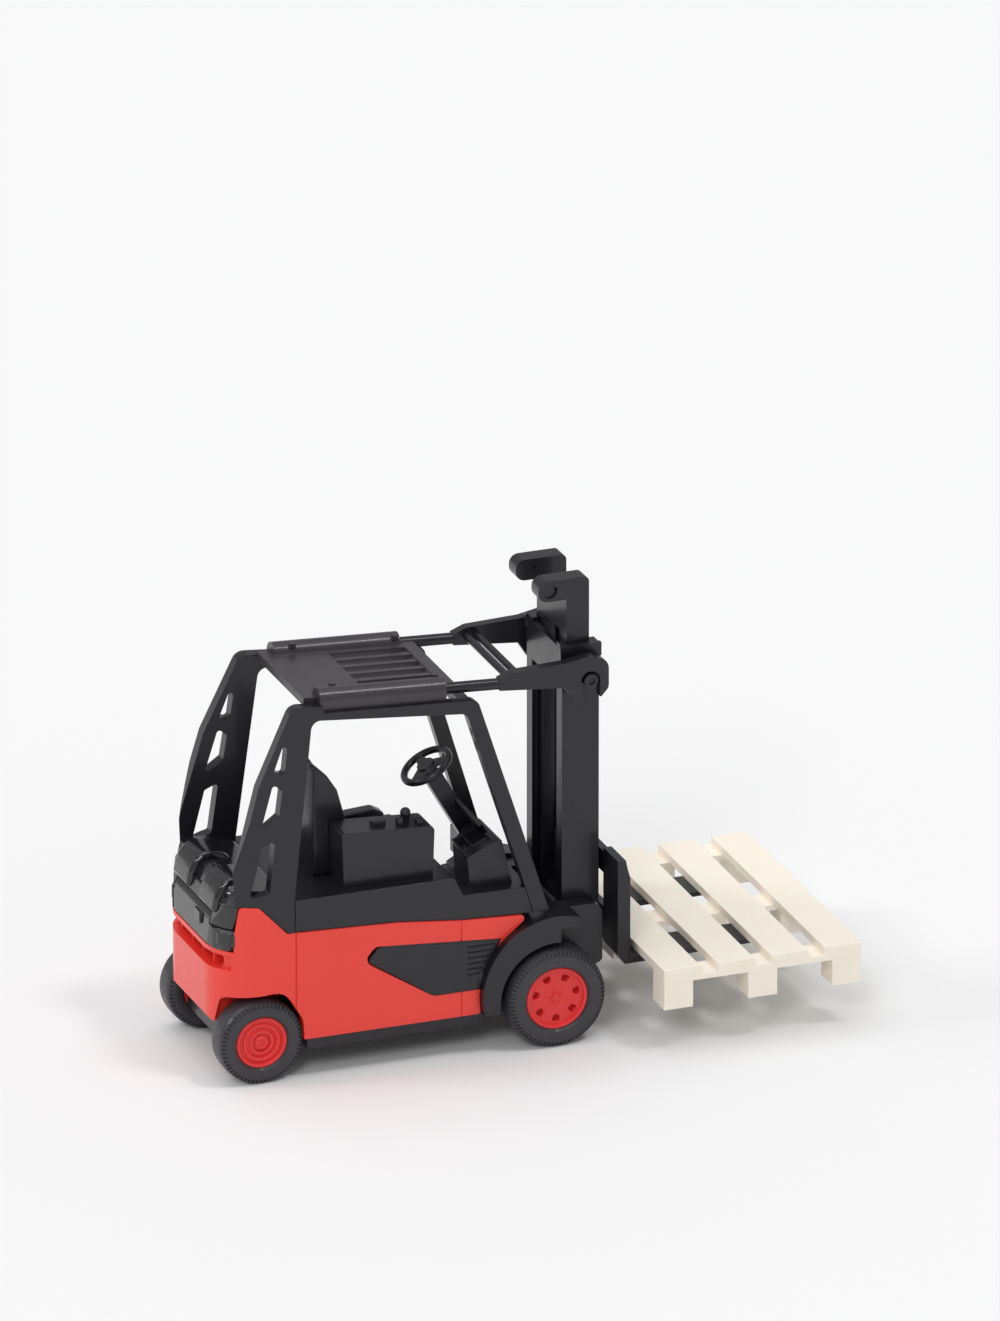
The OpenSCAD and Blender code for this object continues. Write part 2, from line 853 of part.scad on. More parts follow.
// Roof: slotted plate with a half-round housing along each side for the tilt rods
module roof_panel() {
    house_len = house_front_x - house_rear_x;
    plate_z = -0.45;
    color(roof_grey)
        seat_in_frame()
            translate([arm_x, 0, rod_front_z])
                rotate([0, roof_slope, 0])
                    translate([-arm_x, 0, 0])
                        difference() {
                            union() {
                                block(
                                    [roof_rear_x, -rod_y - 0.3, plate_z],
                                    [roof_front_x, rod_y + 0.3, plate_z + roof_t]
                                );
                                both_sides() {
                                    translate([house_rear_x, rod_y, 0])
                                        rotate([0, 90, 0])
                                            cylinder(h = house_len, r = house_w / 2);
                                    block(
                                        [house_rear_x, rod_y - house_w / 2, -house_under],
                                        [house_front_x, rod_y + house_w / 2, 0.2]
                                    );
                                }
                            }
                            both_sides()
                                translate([house_rear_x + 1.2, rod_y, 0])
                                    rotate([0, 90, 0])
                                        cylinder(h = house_len, r = rod_r + slide_gap);
                            // Trims the housings flat where they lie on the rails
                            block([-60, -20, -5], [10, 20, -house_under]);
                            for (i = [0:roof_slots - 1])
                                block(
                                    [house_front_x - 8.4, (i - (roof_slots - 1) / 2) * 2 - 0.65, -1],
                                    [house_front_x, (i - (roof_slots - 1) / 2) * 2 + 0.65, 3]
                                );
                        }
}

// Glossy cover over the counterweight, between the cab's rear pillars
module rear_cover() {
    pillar_in = inner_half - 0.1;
    color(black)
        seat_in_frame()
            union() {
                intersection() {
                    side_slab(-half_w, half_w)
                        polygon(rounded([
                            [rear_x + 0.1, rear_edge_z, 0],
                            [rax - 3, rear_edge_z, 0.9],
                            [rax - 2.25, horn_z - 0.1, 0],
                            [rax - 3.4, horn_z - 0.1, 0.3],
                            [rear_x + 0.3, 17.4, 0.3]
                        ]));
                    linear_extrude(height = cab_h)
                        body_plan(0.1);
                }
                intersection() {
                    side_slab(-pillar_in, pillar_in)
                        polygon(rounded([
                            [rear_x + 0.3, rear_edge_z, 0],
                            [bulkhead_x, rear_edge_z, 0],
                            [bulkhead_x, 20.6, 0.5],
                            [rax - 2.4, 21.4, 1.5],
                            [rear_x + 0.7, 18, 0.8]
                        ]));
                    linear_extrude(height = cab_h)
                        body_plan(0.2);
                }
            }
}

// ---- Mast ----

// Tilt rods: a pair of rods with hooked arms, joined by two crossbars
module tilt_rods() {
    rod_len = arm_x - house_rear_x - 4;
    hook_r = 2;
    color(black)
        seat_in_frame()
            union() {
                both_sides() {
                    translate([arm_x + 0.5, rod_y, rod_z(arm_x + 0.5)])
                        rotate([0, roof_slope - 90, 0])
                            cylinder(h = rod_len, r = rod_r);
                    side_slab(rod_y - arm_t / 2, rod_y + arm_t / 2)
                        difference() {
                            polygon(rounded([
                                [arm_x, rod_front_z - rod_r, 0],
                                [pin_x - 2.9, pin_z - 0.4, 0],
                                [pin_x - 1.5, pin_z - 2.6, 0.3],
                                [pin_x, pin_z - 1.2, 0],
                                [pin_x + 1.1, pin_z - 2, 0.3],
                                [pin_x + hook_r, pin_z - 1, 0.9],
                                [pin_x + hook_r, pin_z + 2, 1.3],
                                [pin_x, pin_z + 2.8, 1.5],
                                [pin_x - 2.6, pin_z + 2.3, 0.8],
                                [arm_x + 1.5, pin_z + 2.1, 0.5],
                                [arm_x, rod_front_z + rod_r, 0]
                            ]));
                            translate([pin_x, pin_z])
                                circle(r = pin_r + hook_gap);
                            translate([pin_x - pin_r - hook_gap, pin_z - 4])
                                square([2 * (pin_r + hook_gap), 4]);
                        }
                }
                for (x = [arm_x + 1.4, arm_x + 2.5])
                    cross_bar(x, pin_z + 1.2, 0.4, -rod_y, rod_y);
            }
}

// Outer mast: two channels joined behind, with foot trunnions and hook pins
module outer_mast() {
    lip = channel_t + slide_gap + 0.75;
    color(black)
        seat_in_frame()
            union() {
                both_sides() {
                    block(
                        [mast_rear_x, mast_half - channel_t, foot_z],
                        [mast_front_x, mast_half, mast_top_z]
                    );
                    for (x = [mast_rear_x, mast_front_x - channel_t])
                        block([x, mast_half - lip, foot_z], [x + channel_t, mast_half, mast_top_z]);
                    // Collar round the top
                    block(
                        [mast_rear_x - 0.2, mast_half - 0.3, mast_top_z - 1.5],
                        [mast_front_x + 0.2, mast_half + 0.2, mast_top_z]
                    );
                    cross_bar(pin_x, pin_z, pin_r, mast_half - 0.1, rod_y + arm_t / 2 + 0.15);
                    cross_bar(pivot_x, pivot_z, trunnion_r, mast_half - 0.1, cheek_bore - slide_gap);
                }
                block(
                    [mast_rear_x, -mast_half, mast_top_z - 4.6],
                    [mast_rear_x + 0.6, mast_half, mast_top_z - 0.4]
                );
                block([mast_rear_x, -mast_half, foot_z], [mast_rear_x + 0.6, mast_half, 12]);
            }
}

// Inner mast: two grooved rails with round heads, joined behind and below
module inner_mast() {
    head_z = inner_top_z - head_h;
    color(black)
        seat_in_frame()
            difference() {
                union() {
                    both_sides() {
                        block(
                            [rail_rear_x, rail_inner, inner_foot_z],
                            [rail_front_x, rail_outer, inner_top_z - 0.5]
                        );
                        side_slab(rail_inner, rail_outer)
                            polygon(rounded([
                                [0.4, head_z, 1],
                                [rail_front_x, head_z, 0],
                                [rail_front_x, inner_top_z, 0.6],
                                [0.4, inner_top_z, 1]
                            ]));
                    }
                    block([rail_rear_x, -rail_outer, inner_foot_z], [rail_front_x, rail_outer, tongue_z]);
                    block(
                        [rail_rear_x, -rail_outer, head_z - 4],
                        [rail_rear_x + 0.7, rail_outer, head_z - 0.6]
                    );
                }
                // Grooves that guide the carriage
                both_sides()
                    block(
                        [groove_x, 0, tongue_z],
                        [groove_x + groove_w, rail_inner + groove_d, inner_top_z - 3]
                    );
            }
}

// Guide groove in each rail of the inner mast
groove_x = rail_rear_x + 1;
groove_w = 0.8;
groove_d = 0.7;

// Fork carriage: guide tongue, two bars, two uprights and the forks, in one moulding
module fork_carriage() {
    tongue_half = rail_inner - slide_gap;
    color(black)
        seat_in_frame()
            union() {
                block(
                    [groove_x, -tongue_half, tongue_z],
                    [carriage_x + 0.4, tongue_half, tongue_z + tongue_h]
                );
                block(
                    [groove_x + slide_gap, -rail_inner - groove_d + slide_gap, tongue_z],
                    [groove_x + groove_w - slide_gap, rail_inner + groove_d - slide_gap, tongue_z + tongue_h]
                );
                for (i = [0, 1])
                    block(
                        [carriage_x, -fork_outer + 0.4, bar_z[i]],
                        [carriage_x + 0.8, fork_outer - 0.4, bar_z[i] + bar_h[i]]
                    );
                both_sides() {
                    side_slab(fork_inner + 0.4, fork_outer)
                        polygon(rounded([
                            [carriage_x, fork_top_z + 0.3, 0],
                            [carriage_x + 0.8, fork_z, 0],
                            [carriage_x + shank_t + 0.3, fork_z, 0],
                            [carriage_x + shank_t + 0.3, upright_top_z - 2, 0],
                            [carriage_x + shank_t, upright_top_z - 1, 0],
                            [carriage_x + 0.9, upright_top_z, 0],
                            [carriage_x, upright_top_z, 0]
                        ]));
                    intersection() {
                        side_slab(fork_inner, fork_outer)
                            polygon([
                                [carriage_x + 0.9, fork_z],
                                [carriage_x + fork_len, fork_top_z - 0.4],
                                [carriage_x + fork_len, fork_top_z],
                                [carriage_x + 0.9, fork_top_z]
                            ]);
                        linear_extrude(height = 20)
                            polygon(rounded([
                                [carriage_x, fork_inner, 0],
                                [carriage_x + fork_len, fork_inner, 1.4],
                                [carriage_x + fork_len, fork_outer, 1.4],
                                [carriage_x, fork_outer, 0]
                            ]));
                    }
                }
            }
}

// ---- Pallet ----

// Loose pallet: deck boards on three bearers with three blocks each
module pallet() {
    bearer_y = [-pallet_w / 2, -block_w / 2, pallet_w / 2 - block_w];
    color(pallet_cream)
        seat_in_frame()
            union() {
                for (i = [0:boards - 1])
                    block(
                        [pallet_x + i * board_step, -pallet_w / 2, fork_top_z],
                        [pallet_x + i * board_step + board_w, pallet_w / 2, pallet_top_z]
                    );
                for (y = bearer_y) {
                    block([pallet_x, y, bearer_z], [pallet_x + pallet_d, y + block_w, fork_top_z + eps]);
                    for (i = [0:2])
                        translate([pallet_x + i * (pallet_d - block_w) / 2, y, pallet_foot_z])
                            cube([block_w, block_w, block_h + eps]);
                }
            }
}

body_casting();
base_plate();
base_screws();
side_panel_left();
side_panel_right();
cab_floor();
dashboard();
steering_column();
steering_wheel();
seat();
armrest();
cab_frame();
roof_panel();
rear_cover();
tilt_rods();
outer_mast();
inner_mast();
fork_carriage();
pallet();
front_axle();
rear_axle();
front_rim_left();
front_rim_right();
front_tyre_left();
front_tyre_right();
rear_rim_left();
rear_rim_right();
rear_tyre_left();
rear_tyre_right();
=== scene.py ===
import json
import math

import bpy
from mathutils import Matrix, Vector

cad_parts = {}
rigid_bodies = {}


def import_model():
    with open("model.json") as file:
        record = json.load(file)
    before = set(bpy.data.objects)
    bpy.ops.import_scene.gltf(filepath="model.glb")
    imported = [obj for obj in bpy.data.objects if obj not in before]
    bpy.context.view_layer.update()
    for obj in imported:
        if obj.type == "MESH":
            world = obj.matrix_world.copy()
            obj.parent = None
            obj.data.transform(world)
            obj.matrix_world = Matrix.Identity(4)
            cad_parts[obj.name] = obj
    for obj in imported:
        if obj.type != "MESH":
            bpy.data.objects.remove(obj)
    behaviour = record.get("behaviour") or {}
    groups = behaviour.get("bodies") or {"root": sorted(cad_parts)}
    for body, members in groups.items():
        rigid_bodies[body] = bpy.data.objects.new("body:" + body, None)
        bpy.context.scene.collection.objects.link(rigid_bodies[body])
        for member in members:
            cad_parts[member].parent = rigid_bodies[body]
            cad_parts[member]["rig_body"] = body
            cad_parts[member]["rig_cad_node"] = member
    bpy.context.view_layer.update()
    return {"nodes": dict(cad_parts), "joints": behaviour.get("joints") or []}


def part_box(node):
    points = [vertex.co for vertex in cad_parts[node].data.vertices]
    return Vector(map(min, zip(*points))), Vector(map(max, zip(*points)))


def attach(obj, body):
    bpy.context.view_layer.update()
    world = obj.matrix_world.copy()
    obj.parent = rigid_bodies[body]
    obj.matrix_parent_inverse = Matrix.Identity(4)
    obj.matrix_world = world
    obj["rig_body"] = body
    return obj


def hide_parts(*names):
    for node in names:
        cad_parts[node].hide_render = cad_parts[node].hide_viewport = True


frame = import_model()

MM = 0.001

# ---- Camera, floor and light ----
# A long lens looks down at the truck from its right and a little behind, so edges stay almost parallel.
# The floor is plain pale card, lit evenly by four large and distant lamps.

look_at = Vector((1.3, 2.9, 38.1)) * MM
view_azimuth = math.radians(-20.8)
view_elevation = math.radians(21.9)
lens = 600
sensor = 36
seen_height = 136.7 * MM
camera_distance = seen_height * lens / sensor

camera = bpy.data.objects.new("camera", bpy.data.cameras.new("camera"))
bpy.context.scene.collection.objects.link(camera)
camera.data.lens = lens
camera.data.sensor_width = sensor
camera.data.clip_start = 0.01
camera.data.clip_end = 50
away = Vector((
    math.sin(view_azimuth) * math.cos(view_elevation),
    -math.cos(view_azimuth) * math.cos(view_elevation),
    math.sin(view_elevation),
))
camera.location = look_at + camera_distance * away
camera.rotation_euler = away.to_track_quat("Z", "Y").to_euler()
bpy.context.scene.camera = camera

floor_width = 16
bpy.ops.object.select_all(action="DESELECT")
bpy.ops.mesh.primitive_plane_add(size=floor_width, location=(0, 0, 0))
floor = bpy.context.object
floor.name = "floor"

floor_card = bpy.data.materials.new("floor_card")
floor_card.use_nodes = True
card = floor_card.node_tree.nodes["Principled BSDF"]
card.inputs["Base Color"].default_value = (0.86, 0.86, 0.862, 1)
card.inputs["Roughness"].default_value = 0.95
card.inputs["Specular IOR Level"].default_value = 0.0
floor.data.materials.append(floor_card)

bpy.context.scene.view_settings.view_transform = "Standard"
room = bpy.data.worlds.new("room")
bpy.context.scene.world = room
room.use_nodes = True
room.node_tree.nodes["Background"].inputs["Color"].default_value = (0.96, 0.965, 0.98, 1)
room.node_tree.nodes["Background"].inputs["Strength"].default_value = 0.42


def far_lamp(name, towards, strength, spread):
    """A large lamp so far off that it lights the whole floor evenly, from the direction given."""
    lamp = bpy.data.objects.new(name, bpy.data.lights.new(name, "SUN"))
    bpy.context.scene.collection.objects.link(lamp)
    lamp.data.energy = strength
    lamp.data.angle = math.radians(spread)
    lamp.rotation_euler = Vector(towards).to_track_quat("Z", "Y").to_euler()


far_lamp("top_lamp", (-0.15, 0.12, 1.0), 1.05, 60)
far_lamp("edge_lamp", (0.34, -0.3, 0.88), 0.5, 10)
far_lamp("key_lamp", (-0.55, -0.8, 0.75), 0.7, 18)
far_lamp("rear_lamp", (-1.0, 0.3, 0.7), 0.5, 14)


# ---- Body casting ----
# The red body is one zinc die casting: two thin side walls in front of a solid counterweight.
# It is sprayed with gloss enamel, which softens its edges. Four ribs stand in the grip slot at the rear.

def only_select(piece):
    """Selects one object and nothing else, and makes it active."""
    bpy.ops.object.select_all(action="DESELECT")
    piece.select_set(True)
    bpy.context.view_layer.objects.active = piece


def welded_copy(node, name):
    """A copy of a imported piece, welded, with its flat faces whole again."""
    piece = frame["nodes"][node].copy()
    piece.data = piece.data.copy()
    piece.parent = None
    del piece["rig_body"]
    del piece["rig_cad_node"]
    piece.name = name
    piece.data.name = name
    piece.data.materials.clear()
    bpy.context.scene.collection.objects.link(piece)
    only_select(piece)
    bpy.ops.object.mode_set(mode="EDIT")
    bpy.ops.mesh.select_all(action="SELECT")
    bpy.ops.mesh.remove_doubles(threshold=0.003 * MM)
    bpy.ops.mesh.dissolve_limited(angle_limit=math.radians(0.6))
    bpy.ops.object.mode_set(mode="OBJECT")
    return piece


def soften_edges(piece, width, segments=2, angle=30):
    """Rounds the sharp edges of a piece by a width in millimetres and evens out its shading."""
    only_select(piece)
    bpy.ops.object.modifier_add(type="BEVEL")
    edges = piece.modifiers[-1]
    edges.width = width * MM
    edges.segments = segments
    edges.limit_method = "ANGLE"
    edges.angle_limit = math.radians(angle)
    edges.miter_outer = "MITER_ARC"
    edges.use_clamp_overlap = True
    bpy.ops.object.modifier_apply(modifier=edges.name)
    even_shading(piece)


def even_shading(piece):
    """Smooths the curved faces and keeps the flat ones flat."""
    only_select(piece)
    bpy.ops.object.shade_smooth_by_angle(angle=math.radians(38))
    bpy.ops.object.modifier_add(type="WEIGHTED_NORMAL")
    weights = piece.modifiers[-1]
    weights.keep_sharp = True
    weights.weight = 100
    bpy.ops.object.modifier_apply(modifier=weights.name)


def fit_piece(piece, body, material, node):
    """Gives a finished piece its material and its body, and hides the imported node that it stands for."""
    piece.data.materials.clear()
    piece.data.materials.append(material)
    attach(piece, body)
    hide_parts(node)


def plain_material(name, colour, roughness, shine=0.5):
    """A new principled material, with its shader and its node tree."""
    material = bpy.data.materials.new(name)
    material.use_nodes = True
    shader = material.node_tree.nodes["Principled BSDF"]
    shader.inputs["Base Color"].default_value = (*colour, 1)
    shader.inputs["Roughness"].default_value = roughness
    shader.inputs["Specular IOR Level"].default_value = shine
    return material, shader, material.node_tree


def fine_noise(tree, per_mm, detail=4, distortion=0.0):
    """Noise on object coordinates, with its size given as features in each millimetre."""
    where = tree.nodes.new("ShaderNodeTexCoord")
    noise = tree.nodes.new("ShaderNodeTexNoise")
    noise.inputs["Scale"].default_value = per_mm / MM
    noise.inputs["Detail"].default_value = detail
    noise.inputs["Distortion"].default_value = distortion
    tree.links.new(where.outputs["Object"], noise.inputs["Vector"])
    return noise.outputs["Fac"]


def between(tree, value, low, high, target):
    """Maps a 0 to 1 value to the range low to high and links it to a socket."""
    spread = tree.nodes.new("ShaderNodeMapRange")
    spread.inputs["To Min"].default_value = low
    spread.inputs["To Max"].default_value = high
    tree.links.new(value, spread.inputs["Value"])
    tree.links.new(spread.outputs["Result"], target)


def tint(tree, value, dark, light, target):
    """Blends two colours by a 0 to 1 value and links the result to a socket."""
    blend = tree.nodes.new("ShaderNodeMix")
    blend.data_type = "RGBA"
    blend.inputs["A"].default_value = (*dark, 1)
    blend.inputs["B"].default_value = (*light, 1)
    tree.links.new(value, blend.inputs["Factor"])
    tree.links.new(blend.outputs["Result"], target)


def relief(tree, value, depth, strength, shader, after=None):
    """Adds a bump of a depth in millimetres, after another bump if one is given."""
    bump = tree.nodes.new("ShaderNodeBump")
    bump.inputs["Distance"].default_value = depth * MM
    bump.inputs["Strength"].default_value = strength
    tree.links.new(value, bump.inputs["Height"])
    if after is not None:
        tree.links.new(after.outputs["Normal"], bump.inputs["Normal"])
    tree.links.new(bump.outputs["Normal"], shader.inputs["Normal"])
    return bump


def prism(corners, push, corner=0):
    """A solid from a flat outline, pushed along a vector. A corner radius rounds the outline's corners."""
    bpy.ops.object.select_all(action="DESELECT")
    bpy.ops.mesh.primitive_circle_add(vertices=len(corners), fill_type="NGON")
    piece = bpy.context.object
    for vertex, place in zip(piece.data.vertices, corners):
        vertex.co = Vector(place) * MM
    bpy.ops.object.mode_set(mode="EDIT")
    bpy.ops.mesh.select_all(action="SELECT")
    if corner:
        bpy.ops.mesh.bevel(offset=corner * MM, segments=4, affect="VERTICES")
        bpy.ops.mesh.select_all(action="SELECT")
    bpy.ops.mesh.extrude_region_move(TRANSFORM_OT_translate={"value": Vector(push) * MM})
    bpy.ops.mesh.select_all(action="SELECT")
    bpy.ops.mesh.normals_make_consistent(inside=False)
    bpy.ops.object.mode_set(mode="OBJECT")
    return piece


def brick(low, high, corner=0):
    """A box between two corners, with its upright edges rounded if a corner radius is given."""
    (x0, y0, z0), (x1, y1, z1) = low, high
    return prism([(x0, y0, z0), (x1, y0, z0), (x1, y1, z0), (x0, y1, z0)], (0, 0, z1 - z0), corner)


def combine(piece, part, operation="UNION"):
    """Fuses a part into a piece, cuts it out of it (DIFFERENCE) or keeps what both share (INTERSECT)."""
    only_select(piece)
    bpy.ops.object.modifier_add(type="BOOLEAN")
    step = piece.modifiers[-1]
    step.operation = operation
    step.solver = "EXACT"
    step.object = part
    bpy.ops.object.modifier_apply(modifier=step.name)
    bpy.data.objects.remove(part)


def box_mm(node):
    """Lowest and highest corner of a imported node, in millimetres."""
    low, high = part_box(node)
    return Vector(low) / MM, Vector(high) / MM


red_enamel, shader, tree = plain_material("red_enamel", (0.82, 0.046, 0.03), 0.32, 0.35)
tint(tree, fine_noise(tree, 0.12), (0.8, 0.042, 0.028), (0.86, 0.052, 0.036), shader.inputs["Base Color"])
between(tree, fine_noise(tree, 1.6), 0.26, 0.4, shader.inputs["Roughness"])
orange_peel = relief(tree, fine_noise(tree, 2.2, detail=2), 0.02, 0.2, shader)
relief(tree, fine_noise(tree, 0.35, detail=2), 0.08, 0.15, shader, after=orange_peel)
shader.inputs["Coat Weight"].default_value = 0.3
shader.inputs["Coat Roughness"].default_value = 0.12

casting = welded_copy("body_casting", "red_body")
rear_face = box_mm("body_casting")[0].x
grip_half = 6.8
grip_low = 12.4
grip_high = 14.1
grip_depth = 2.4
lead_in = 0.5
grip_outline = (
    (-grip_half, grip_low), (grip_half, grip_low), (grip_half, grip_high), (-grip_half, grip_high),
)
grip_start = [(rear_face - lead_in, y, z) for y, z in grip_outline]
grip = prism(grip_start, (grip_depth + lead_in, 0, 0), corner=0.75)
combine(casting, grip, "DIFFERENCE")
rib_half = 0.15
rib_sunk = 0.9
for rib_y in (-4.8, -1.6, 1.6, 4.8):
    rib_start = (rear_face + rib_sunk, rib_y - rib_half, grip_low - 0.2)
    rib_end = (rear_face + grip_depth + 0.2, rib_y + rib_half, grip_high + 0.3)
    combine(casting, brick(rib_start, rib_end))
soften_edges(casting, 0.2, segments=3)
fit_piece(casting, "truck", red_enamel, "body_casting")


# ---- Base plate and its screws ----
# The black base is one plastic moulding that carries both axles and holds the mast foot in its cheeks.
# Two steel screws hold the body and the cab floor to it.

def moulded_black(name, colour, roughness, grain=0.12, shine=0.4):
    """Semi-gloss black moulded plastic: fine grain, faint flow marks and dusty high spots."""
    material, shader, tree = plain_material(name, colour, roughness, shine)
    dusty = tuple(channel * 1.4 + 0.002 for channel in colour)
    dust = fine_noise(tree, 0.3, detail=5, distortion=0.4)
    tint(tree, dust, colour, dusty, shader.inputs["Base Color"])
    polish = fine_noise(tree, 0.8, detail=6)
    between(tree, polish, roughness - 0.07, roughness + 0.08, shader.inputs["Roughness"])
    flow = relief(tree, fine_noise(tree, 0.4, detail=2, distortion=0.6), 0.06, 0.15, shader)
    relief(tree, fine_noise(tree, 6.0, detail=2), 0.01, grain, shader, after=flow)
    shader.inputs["Coat Weight"].default_value = 0.2
    shader.inputs["Coat Roughness"].default_value = 0.1
    return material


black_moulding = moulded_black("black_moulding", (0.0072, 0.0064, 0.0098), 0.34)

base = welded_copy("base_plate", "black_base")
soften_edges(base, 0.14)
fit_piece(base, "truck", black_moulding, "base_plate")

bright_steel, shader, tree = plain_material("bright_steel", (0.62, 0.62, 0.63), 0.3)
shader.inputs["Metallic"].default_value = 1.0
between(tree, fine_noise(tree, 3.0, detail=5), 0.22, 0.4, shader.inputs["Roughness"])
screws = welded_copy("base_screws", "base_screws_pair")
soften_edges(screws, 0.05)
fit_piece(screws, "truck", bright_steel, "base_screws")


# ---- Wheels ----
# Steel axles carry red plastic rims with black tyres pressed round them.
# Fine notches are moulded round both shoulders of each tyre, and its tread is smooth.

def spun_ring(outline, centre, turns):
    """Spins an outline of (radius, y) points, in millimetres, round a line along Y."""
    bpy.ops.object.select_all(action="DESELECT")
    bpy.ops.mesh.primitive_circle_add(vertices=len(outline))
    piece = bpy.context.object
    for vertex, (radius, y) in zip(piece.data.vertices, outline):
        vertex.co = Vector((radius, y, 0)) * MM
    bpy.ops.object.mode_set(mode="EDIT")
    bpy.ops.mesh.select_all(action="SELECT")
    bpy.ops.mesh.spin(steps=turns, angle=2 * math.pi, center=(0, 0, 0), axis=(0, 1, 0))
    bpy.ops.mesh.select_all(action="SELECT")
    bpy.ops.mesh.remove_doubles(threshold=0.002 * MM)
    bpy.ops.mesh.delete_loose()
    bpy.ops.mesh.select_all(action="SELECT")
    bpy.ops.mesh.normals_make_consistent(inside=False)
    bpy.ops.mesh.select_all(action="DESELECT")
    bpy.ops.object.mode_set(mode="OBJECT")
    piece.location = Vector(centre) * MM
    bpy.ops.object.transform_apply(location=True, rotation=True, scale=True)
    return piece


def turned_copy(piece, centre, angle):
    """A copy of a piece, turned by an angle round the line along Y through the centre."""
    only_select(piece)
    bpy.ops.object.duplicate()
    copy = bpy.context.object
    bpy.ops.object.mode_set(mode="EDIT")
    bpy.ops.mesh.select_all(action="SELECT")
    bpy.ops.transform.rotate(value=angle, orient_axis="Y", center_override=Vector(centre) * MM)
    bpy.ops.object.mode_set(mode="OBJECT")
    return copy


def slab(outline, y0, y1, corner=0):
    """A slab between two places along Y, from an outline in x and z, in millimetres."""
    return prism([(x, y0, z) for x, z in outline], (0, y1 - y0, 0), corner)


def lugged_tyre(node, rim_r, lugs):
    """A tyre with a flat tread and a ring of small moulded notches in each shoulder."""
    low, high = box_mm(node)
    centre = (low + high) / 2
    tread_r = (high.z - low.z) / 2
    half = (high.y - low.y) / 2
    side = [
        (rim_r, half - 0.3),
        (rim_r + 0.2, half - 0.06),
        (rim_r + 0.5, half),
        (tread_r - 0.8, half),
        (tread_r - 0.62, half - 0.05),
        (tread_r - 0.18, half - 0.3),
        (tread_r - 0.03, half - 0.6),
        (tread_r, half - 0.95),
    ]
    outline = [(radius, -y) for radius, y in side] + [(radius, y) for radius, y in reversed(side)]
    tyre = spun_ring(outline, centre, 2 * lugs)
    for face in tyre.data.polygons:
        spot = face.center / MM - centre
        radius = math.hypot(spot.x, spot.z)
        place = math.atan2(spot.z, spot.x) / (2 * math.pi) * 2 * lugs
        on_shoulder = tread_r - 0.6 < radius < tread_r - 0.2
        face.select = on_shoulder and math.floor(place) % 2 == 0
    notch_depth = 0.12
    notch_edge = 0.03
    only_select(tyre)
    bpy.ops.object.mode_set(mode="EDIT")
    bpy.ops.mesh.select_mode(type="FACE")
    bpy.ops.mesh.inset(thickness=notch_edge * MM, depth=-notch_depth * MM, use_individual=True)
    bpy.ops.object.mode_set(mode="OBJECT")
    only_select(tyre)
    bpy.ops.object.shade_smooth_by_angle(angle=math.radians(30))
    return tyre


tyre_moulding = moulded_black("tyre_moulding", (0.028, 0.027, 0.032), 0.5, grain=0.4)
for end, body, rim_r, lugs in (("front", "front_wheels", 3.4, 70), ("rear", "rear_wheels", 2.8, 58)):
    for side in ("left", "right"):
        tyre = lugged_tyre(f"{end}_tyre_{side}", rim_r, lugs)
        tyre.name = f"{end}_{side}_tyre"
        fit_piece(tyre, body, tyre_moulding, f"{end}_tyre_{side}")

rim_moulding, shader, tree = plain_material("rim_moulding", (0.74, 0.034, 0.034), 0.36, 0.4)
tint(tree, fine_noise(tree, 0.5), (0.71, 0.03, 0.031), (0.79, 0.042, 0.042), shader.inputs["Base Color"])
between(tree, fine_noise(tree, 1.4), 0.3, 0.46, shader.inputs["Roughness"])
relief(tree, fine_noise(tree, 5.0, detail=2), 0.01, 0.25, shader)

